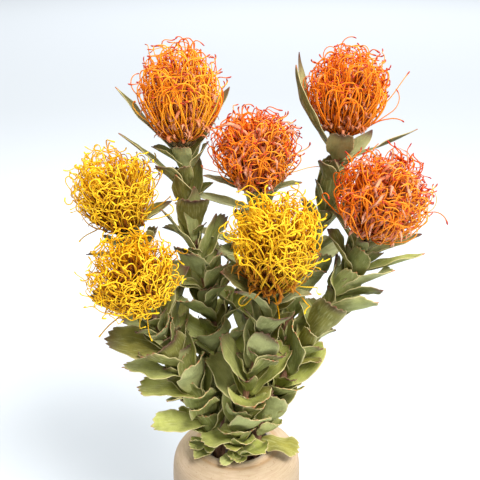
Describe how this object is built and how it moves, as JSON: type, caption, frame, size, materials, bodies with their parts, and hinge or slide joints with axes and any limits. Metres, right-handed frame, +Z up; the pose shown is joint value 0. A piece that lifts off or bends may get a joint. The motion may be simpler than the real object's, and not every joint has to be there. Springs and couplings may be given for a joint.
{
  "type": "vase of pincushion protea flowers",
  "caption": "Round-shouldered stoneware vase holding upright dried pincushion protea stems with broad grey-green leaves and domed heads of curled yellow and orange styles.",
  "frame": {"origin": "centre of the vase's flat base, on the surface that it stands on", "axes": "+Z up along the vase's axis, -Y towards the front, where the picture was taken from, +X to the viewer's right"},
  "size_m": [0.3272, 0.1859, 0.5733],
  "materials": {
    "stoneware": "matte",
    "leafy_stem": "matte",
    "yellow_head": "matte",
    "orange_head": "matte",
    "rust_head": "matte"
  },
  "bodies": {
    "root": {"vase": "stoneware", "stem_lower_left": "leafy_stem", "stem_middle_front": "leafy_stem", "stem_far_right": "leafy_stem", "stem_upper_left": "leafy_stem", "stem_upper_right": "leafy_stem", "stem_far_left": "leafy_stem", "stem_middle_back": "leafy_stem", "head_lower_left": "yellow_head", "head_middle_front": "yellow_head", "head_far_left": "yellow_head", "head_upper_left": "orange_head", "head_upper_right": "orange_head", "head_far_right": "rust_head", "head_middle_back": "rust_head"}
  },
  "joints": []
}
